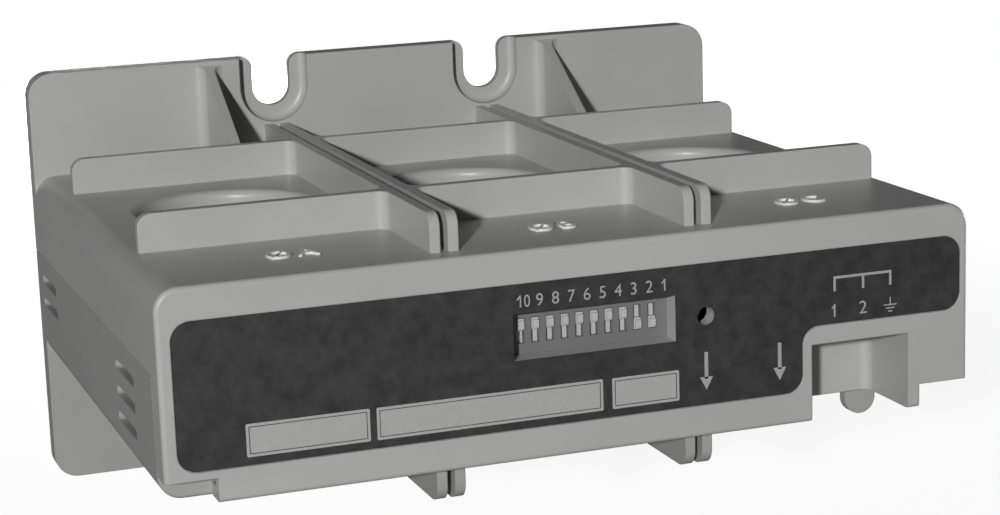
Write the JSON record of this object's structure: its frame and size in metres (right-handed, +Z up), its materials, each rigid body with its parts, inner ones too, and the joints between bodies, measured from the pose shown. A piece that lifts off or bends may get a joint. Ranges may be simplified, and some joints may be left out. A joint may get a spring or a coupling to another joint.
{
  "type": "energy monitor",
  "caption": "Flat panel-mounted energy monitor with round cable windows, a slotted flange, phase partitions, a slide switch bank and a wiring recess.",
  "frame": {"origin": "centre of the mounting flange's flat back face", "axes": "+X across the poles, to the right seen from the label face; +Y from the label face back to the panel; +Z up"},
  "size_m": [0.1392, 0.1112, 0.0792],
  "materials": {
    "housing": "fine moulded texture",
    "label": "satin printed film",
    "switch": "moulded",
    "slider": "moulded",
    "lens": "clear moulding",
    "board": "solder mask",
    "moulding_black": "moulded",
    "moulding_green": "moulded",
    "pin_metal": "tin plated",
    "tape": "insulating tape",
    "core_steel": "laminated",
    "winding": "enamelled copper wire",
    "lead": "wire insulation",
    "can": "sleeved can",
    "screw_steel": "zinc plated"
  },
  "bodies": {
    "housing": {"upper_housing": "housing", "lower_housing": "housing", "front_label": "label", "switch_body": "switch", "status_light": "lens", "front_board": "board", "main_board": "board", "board_link": "moulding_black", "wiring_connector": "moulding_green", "wiring_pins": "pin_metal", "sensor_seat_left": "tape", "sensor_seat_middle": "tape", "sensor_seat_right": "tape", "sensor_core_left": "core_steel", "sensor_core_middle": "core_steel", "sensor_core_right": "core_steel", "sensor_winding_left": "winding", "sensor_winding_middle": "winding", "sensor_winding_right": "winding", "sensor_leads_left": "lead", "sensor_leads_middle": "lead", "sensor_leads_right": "lead", "transformer_core": "core_steel", "transformer_coil": "tape", "supply_capacitors": "can", "meter_chip": "moulding_black", "comms_chip": "moulding_black", "shell_screws": "screw_steel", "board_screws": "screw_steel"},
    "slider_1": {"switch_slider_1": "slider"},
    "slider_2": {"switch_slider_2": "slider"},
    "slider_3": {"switch_slider_3": "slider"},
    "slider_4": {"switch_slider_4": "slider"},
    "slider_5": {"switch_slider_5": "slider"},
    "slider_6": {"switch_slider_6": "slider"},
    "slider_7": {"switch_slider_7": "slider"},
    "slider_8": {"switch_slider_8": "slider"},
    "slider_9": {"switch_slider_9": "slider"},
    "slider_10": {"switch_slider_10": "slider"}
  },
  "joints": [
    {"name": "switch_1", "type": "slide", "parent": "housing", "child": "slider_1", "axis": [0, 0, 1], "range_m": [0, 0.002]},
    {"name": "switch_2", "type": "slide", "parent": "housing", "child": "slider_2", "axis": [0, 0, 1], "range_m": [0, 0.002]},
    {"name": "switch_3", "type": "slide", "parent": "housing", "child": "slider_3", "axis": [0, 0, 1], "range_m": [-0.002, 0]},
    {"name": "switch_4", "type": "slide", "parent": "housing", "child": "slider_4", "axis": [0, 0, 1], "range_m": [-0.002, 0]},
    {"name": "switch_5", "type": "slide", "parent": "housing", "child": "slider_5", "axis": [0, 0, 1], "range_m": [-0.002, 0]},
    {"name": "switch_6", "type": "slide", "parent": "housing", "child": "slider_6", "axis": [0, 0, 1], "range_m": [-0.002, 0]},
    {"name": "switch_7", "type": "slide", "parent": "housing", "child": "slider_7", "axis": [0, 0, 1], "range_m": [-0.002, 0]},
    {"name": "switch_8", "type": "slide", "parent": "housing", "child": "slider_8", "axis": [0, 0, 1], "range_m": [-0.002, 0]},
    {"name": "switch_9", "type": "slide", "parent": "housing", "child": "slider_9", "axis": [0, 0, 1], "range_m": [-0.002, 0]},
    {"name": "switch_10", "type": "slide", "parent": "housing", "child": "slider_10", "axis": [0, 0, 1], "range_m": [-0.002, 0]}
  ]
}
